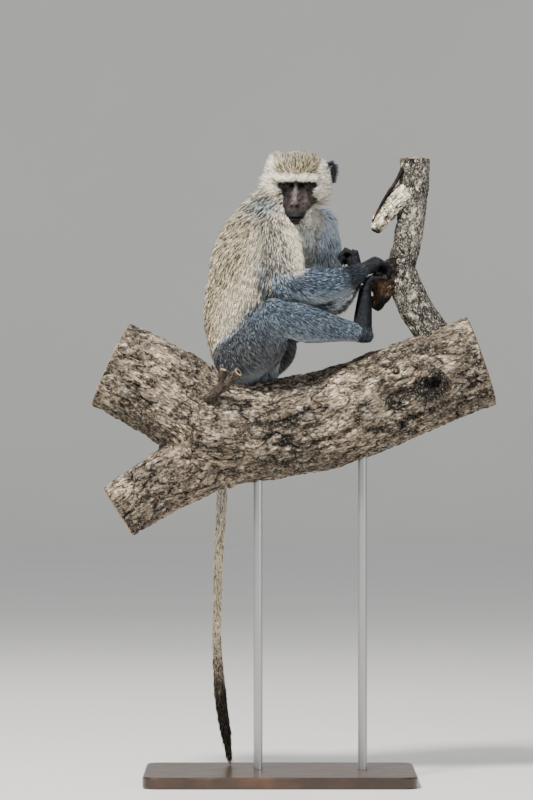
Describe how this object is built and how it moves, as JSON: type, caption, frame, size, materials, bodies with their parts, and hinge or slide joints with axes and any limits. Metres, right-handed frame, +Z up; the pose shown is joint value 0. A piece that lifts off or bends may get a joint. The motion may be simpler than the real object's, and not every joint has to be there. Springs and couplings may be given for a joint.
{
  "type": "vervet monkey model",
  "caption": "Still life-size model of a vervet monkey seated on a cut tree limb, feet and hands on an upright branch, tail hanging behind it, on a plain display stand.",
  "frame": {"origin": "centre of the stand base's underside", "axes": "+Z up, +X the way the feet point, along the limb; +Y towards the animal's left side; the face looks towards -Y"},
  "size_m": [0.627, 0.2925, 0.9788],
  "materials": {
    "head_fur": "short speckled coat, black bare face",
    "body_fur": "grizzled olive-grey coat, cream underneath",
    "grey_fur": "grizzled grey coat",
    "dark_skin": "black bare skin",
    "eye": "wet dark brown",
    "bark": "rough furrowed bark",
    "rotten_wood": "rotten brown wood",
    "stand_board": "satin black board",
    "stand_steel": "satin"
  },
  "bodies": {
    "root": {"head": "head_fur", "eye_left": "eye", "eye_right": "eye", "neck": "body_fur", "chest": "body_fur", "abdomen": "body_fur", "pelvis": "body_fur", "upper_arm_right": "body_fur", "upper_arm_left": "body_fur", "thigh_right": "grey_fur", "thigh_left": "grey_fur", "shin_right": "grey_fur", "shin_left": "grey_fur", "forearm_right": "grey_fur", "forearm_left": "grey_fur", "tail_root": "grey_fur", "tail_upper": "grey_fur", "tail_middle": "grey_fur", "tail_lower": "grey_fur", "tail_tip": "grey_fur", "hand_right": "dark_skin", "hand_left": "dark_skin", "foot_right": "dark_skin", "foot_left": "dark_skin", "ear_right": "dark_skin", "ear_left": "dark_skin", "perch_limb": "bark", "perch_fork_upper": "bark", "perch_fork_lower": "bark", "perch_upright": "bark", "perch_stub": "bark", "perch_knot": "bark", "perch_twig": "bark", "perch_snag": "rotten_wood", "perch_flap": "rotten_wood", "stand_base": "stand_board", "stand_rod_1": "stand_steel", "stand_rod_2": "stand_steel"}
  },
  "joints": []
}
